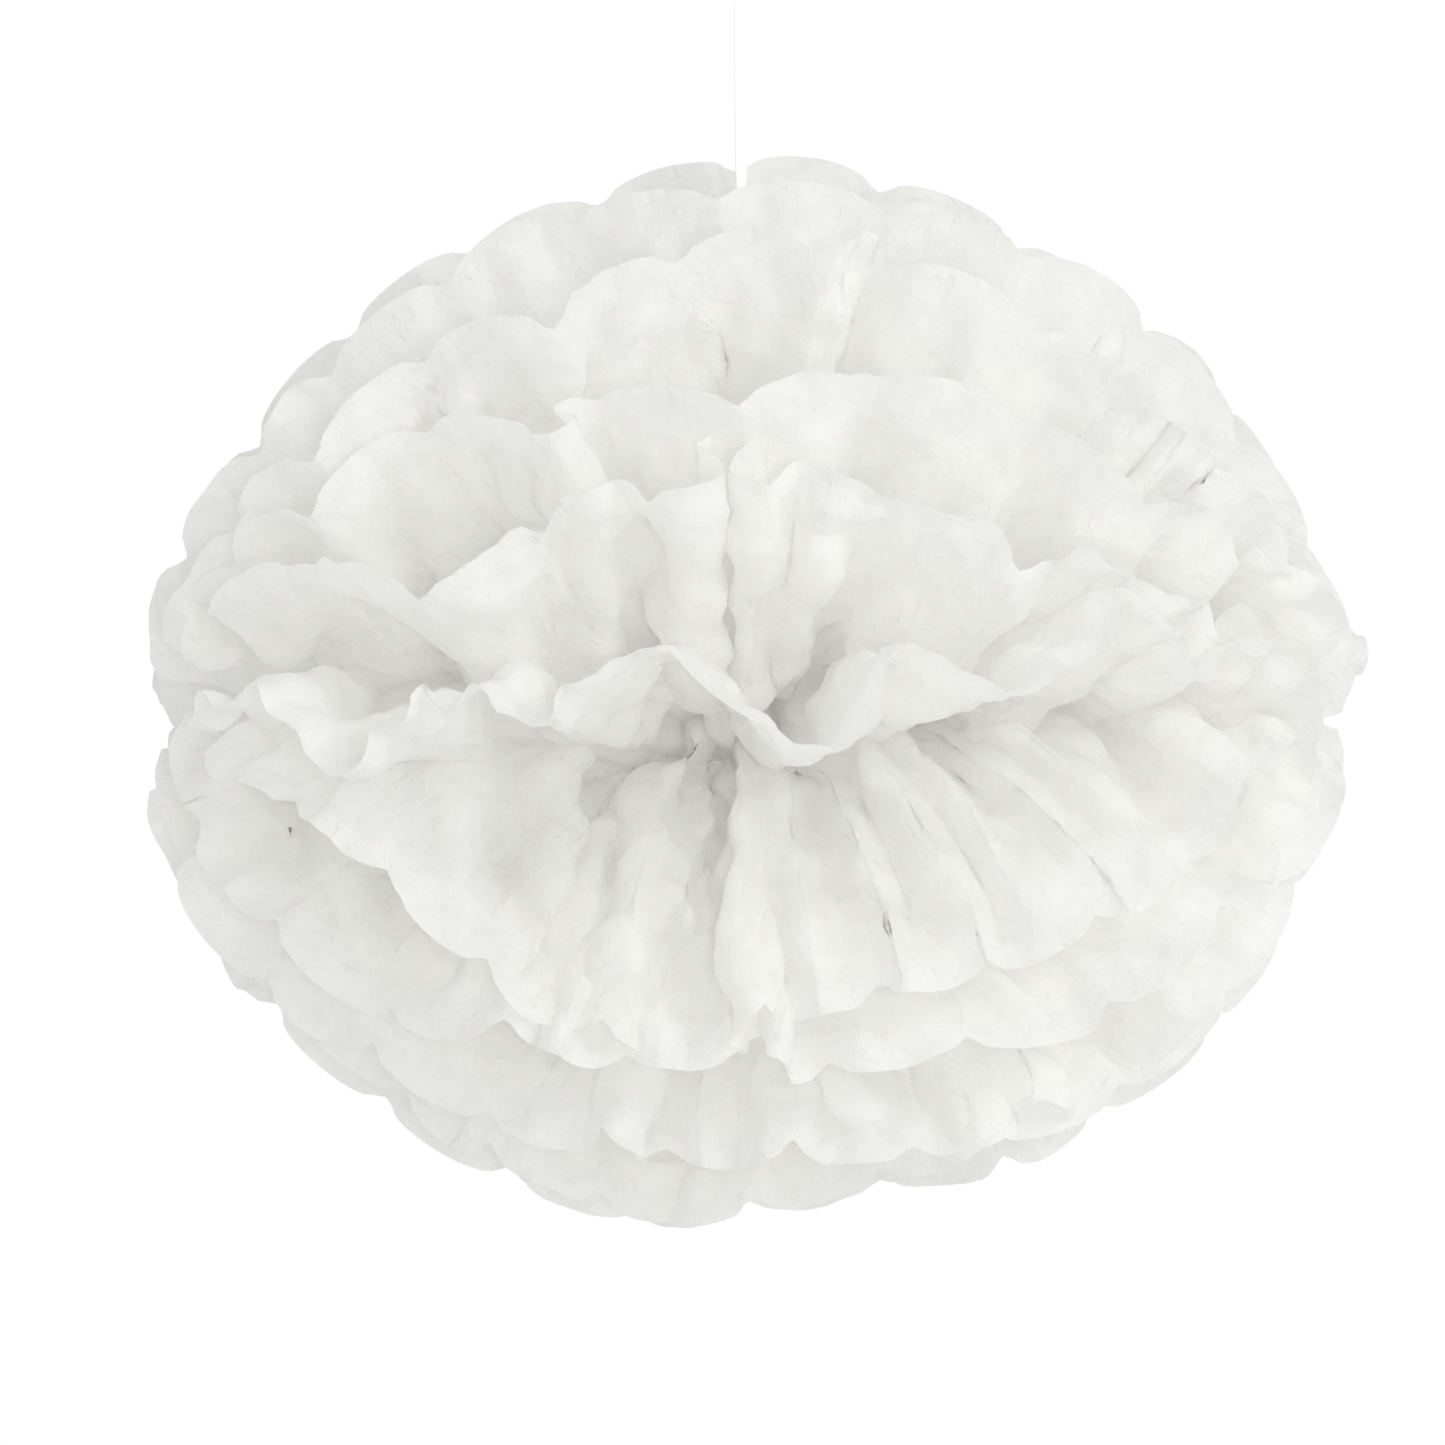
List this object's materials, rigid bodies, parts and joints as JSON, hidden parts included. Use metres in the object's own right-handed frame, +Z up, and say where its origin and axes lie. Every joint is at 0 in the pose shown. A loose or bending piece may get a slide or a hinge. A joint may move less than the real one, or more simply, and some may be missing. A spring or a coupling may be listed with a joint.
{
  "type": "hanging tissue paper pom-pom",
  "caption": "Fluffed tissue paper flower ball: pleated, scalloped sheets wire-tied at the waist and fanned open, hung by a narrow ribbon with a loop.",
  "frame": {"origin": "the point inside the top of the hanging loop that bears on a hook", "axes": "+Z up along the ribbon, -Y towards the front of the ball, +X to its right"},
  "size_m": [0.3502, 0.2996, 0.3903],
  "materials": {
    "tissue": "thin crumpled matte tissue, lets light through",
    "wire": "white coated florist wire",
    "ribbon": "white woven satin ribbon"
  },
  "bodies": {
    "hanger": {"ribbon_loop": "ribbon"},
    "knot": {"upper_knot": "ribbon"},
    "strand": {"ribbon": "ribbon"},
    "waist": {"gathered_core": "tissue", "tie_wire": "wire", "waist_knot": "ribbon"},
    "fan_01_upper": {"sheet_01_upper": "tissue"},
    "fan_01_lower": {"sheet_01_lower": "tissue"},
    "fan_02_upper": {"sheet_02_upper": "tissue"},
    "fan_02_lower": {"sheet_02_lower": "tissue"},
    "fan_03_upper": {"sheet_03_upper": "tissue"},
    "fan_03_lower": {"sheet_03_lower": "tissue"},
    "fan_04_upper": {"sheet_04_upper": "tissue"},
    "fan_04_lower": {"sheet_04_lower": "tissue"},
    "fan_05_upper": {"sheet_05_upper": "tissue"},
    "fan_05_lower": {"sheet_05_lower": "tissue"},
    "fan_06_upper": {"sheet_06_upper": "tissue"},
    "fan_06_lower": {"sheet_06_lower": "tissue"},
    "fan_07_upper": {"sheet_07_upper": "tissue"},
    "fan_07_lower": {"sheet_07_lower": "tissue"},
    "fan_08_upper": {"sheet_08_upper": "tissue"},
    "fan_08_lower": {"sheet_08_lower": "tissue"},
    "fan_09_upper": {"sheet_09_upper": "tissue"},
    "fan_09_lower": {"sheet_09_lower": "tissue"},
    "fan_10_upper": {"sheet_10_upper": "tissue"},
    "fan_10_lower": {"sheet_10_lower": "tissue"}
  },
  "joints": [
    {"name": "swing_side", "type": "hinge", "parent": "hanger", "child": "knot", "pos_m": [0, 0, -0.03], "axis": [0, 1, 0], "range_deg": [-35, 35]},
    {"name": "swing_front", "type": "hinge", "parent": "knot", "child": "strand", "pos_m": [0, 0, -0.03], "axis": [1, 0, 0], "range_deg": [-35, 35]},
    {"name": "ribbon_twist", "type": "hinge", "parent": "strand", "child": "waist", "pos_m": [0, 0, -0.0335], "axis": [0, 0, 1], "continuous": true},
    {"name": "lift_01_upper", "type": "hinge", "parent": "waist", "child": "fan_01_upper", "pos_m": [0, 0, -0.245], "axis": [-1, 0, 0], "range_deg": [-4, 3], "stiffness_Nm_per_rad": 0.2},
    {"name": "lift_01_lower", "type": "hinge", "parent": "waist", "child": "fan_01_lower", "pos_m": [0, 0, -0.245], "axis": [1, 0, 0], "range_deg": [-4, 3], "stiffness_Nm_per_rad": 0.2},
    {"name": "lift_02_upper", "type": "hinge", "parent": "waist", "child": "fan_02_upper", "pos_m": [0, 0, -0.245], "axis": [-1, 0, 0], "range_deg": [-4, 3], "stiffness_Nm_per_rad": 0.2},
    {"name": "lift_02_lower", "type": "hinge", "parent": "waist", "child": "fan_02_lower", "pos_m": [0, 0, -0.245], "axis": [1, 0, 0], "range_deg": [-4, 3], "stiffness_Nm_per_rad": 0.2},
    {"name": "lift_03_upper", "type": "hinge", "parent": "waist", "child": "fan_03_upper", "pos_m": [0, 0, -0.245], "axis": [-1, 0, 0], "range_deg": [-4, 3], "stiffness_Nm_per_rad": 0.2},
    {"name": "lift_03_lower", "type": "hinge", "parent": "waist", "child": "fan_03_lower", "pos_m": [0, 0, -0.245], "axis": [1, 0, 0], "range_deg": [-4, 3], "stiffness_Nm_per_rad": 0.2},
    {"name": "lift_04_upper", "type": "hinge", "parent": "waist", "child": "fan_04_upper", "pos_m": [0, 0, -0.245], "axis": [-1, 0, 0], "range_deg": [-4, 3], "stiffness_Nm_per_rad": 0.2},
    {"name": "lift_04_lower", "type": "hinge", "parent": "waist", "child": "fan_04_lower", "pos_m": [0, 0, -0.245], "axis": [1, 0, 0], "range_deg": [-4, 3], "stiffness_Nm_per_rad": 0.2},
    {"name": "lift_05_upper", "type": "hinge", "parent": "waist", "child": "fan_05_upper", "pos_m": [0, 0, -0.245], "axis": [-1, 0, 0], "range_deg": [-4, 3], "stiffness_Nm_per_rad": 0.2},
    {"name": "lift_05_lower", "type": "hinge", "parent": "waist", "child": "fan_05_lower", "pos_m": [0, 0, -0.245], "axis": [1, 0, 0], "range_deg": [-4, 3], "stiffness_Nm_per_rad": 0.2},
    {"name": "lift_06_upper", "type": "hinge", "parent": "waist", "child": "fan_06_upper", "pos_m": [0, 0, -0.245], "axis": [1, 0, 0], "range_deg": [-4, 3], "stiffness_Nm_per_rad": 0.2},
    {"name": "lift_06_lower", "type": "hinge", "parent": "waist", "child": "fan_06_lower", "pos_m": [0, 0, -0.245], "axis": [-1, 0, 0], "range_deg": [-4, 3], "stiffness_Nm_per_rad": 0.2},
    {"name": "lift_07_upper", "type": "hinge", "parent": "waist", "child": "fan_07_upper", "pos_m": [0, 0, -0.245], "axis": [1, 0, 0], "range_deg": [-4, 3], "stiffness_Nm_per_rad": 0.2},
    {"name": "lift_07_lower", "type": "hinge", "parent": "waist", "child": "fan_07_lower", "pos_m": [0, 0, -0.245], "axis": [-1, 0, 0], "range_deg": [-4, 3], "stiffness_Nm_per_rad": 0.2},
    {"name": "lift_08_upper", "type": "hinge", "parent": "waist", "child": "fan_08_upper", "pos_m": [0, 0, -0.245], "axis": [1, 0, 0], "range_deg": [-4, 3], "stiffness_Nm_per_rad": 0.2},
    {"name": "lift_08_lower", "type": "hinge", "parent": "waist", "child": "fan_08_lower", "pos_m": [0, 0, -0.245], "axis": [-1, 0, 0], "range_deg": [-4, 3], "stiffness_Nm_per_rad": 0.2},
    {"name": "lift_09_upper", "type": "hinge", "parent": "waist", "child": "fan_09_upper", "pos_m": [0, 0, -0.245], "axis": [1, 0, 0], "range_deg": [-4, 3], "stiffness_Nm_per_rad": 0.2},
    {"name": "lift_09_lower", "type": "hinge", "parent": "waist", "child": "fan_09_lower", "pos_m": [0, 0, -0.245], "axis": [-1, 0, 0], "range_deg": [-4, 3], "stiffness_Nm_per_rad": 0.2},
    {"name": "lift_10_upper", "type": "hinge", "parent": "waist", "child": "fan_10_upper", "pos_m": [0, 0, -0.245], "axis": [1, 0, 0], "range_deg": [-4, 3], "stiffness_Nm_per_rad": 0.2},
    {"name": "lift_10_lower", "type": "hinge", "parent": "waist", "child": "fan_10_lower", "pos_m": [0, 0, -0.245], "axis": [-1, 0, 0], "range_deg": [-4, 3], "stiffness_Nm_per_rad": 0.2}
  ]
}
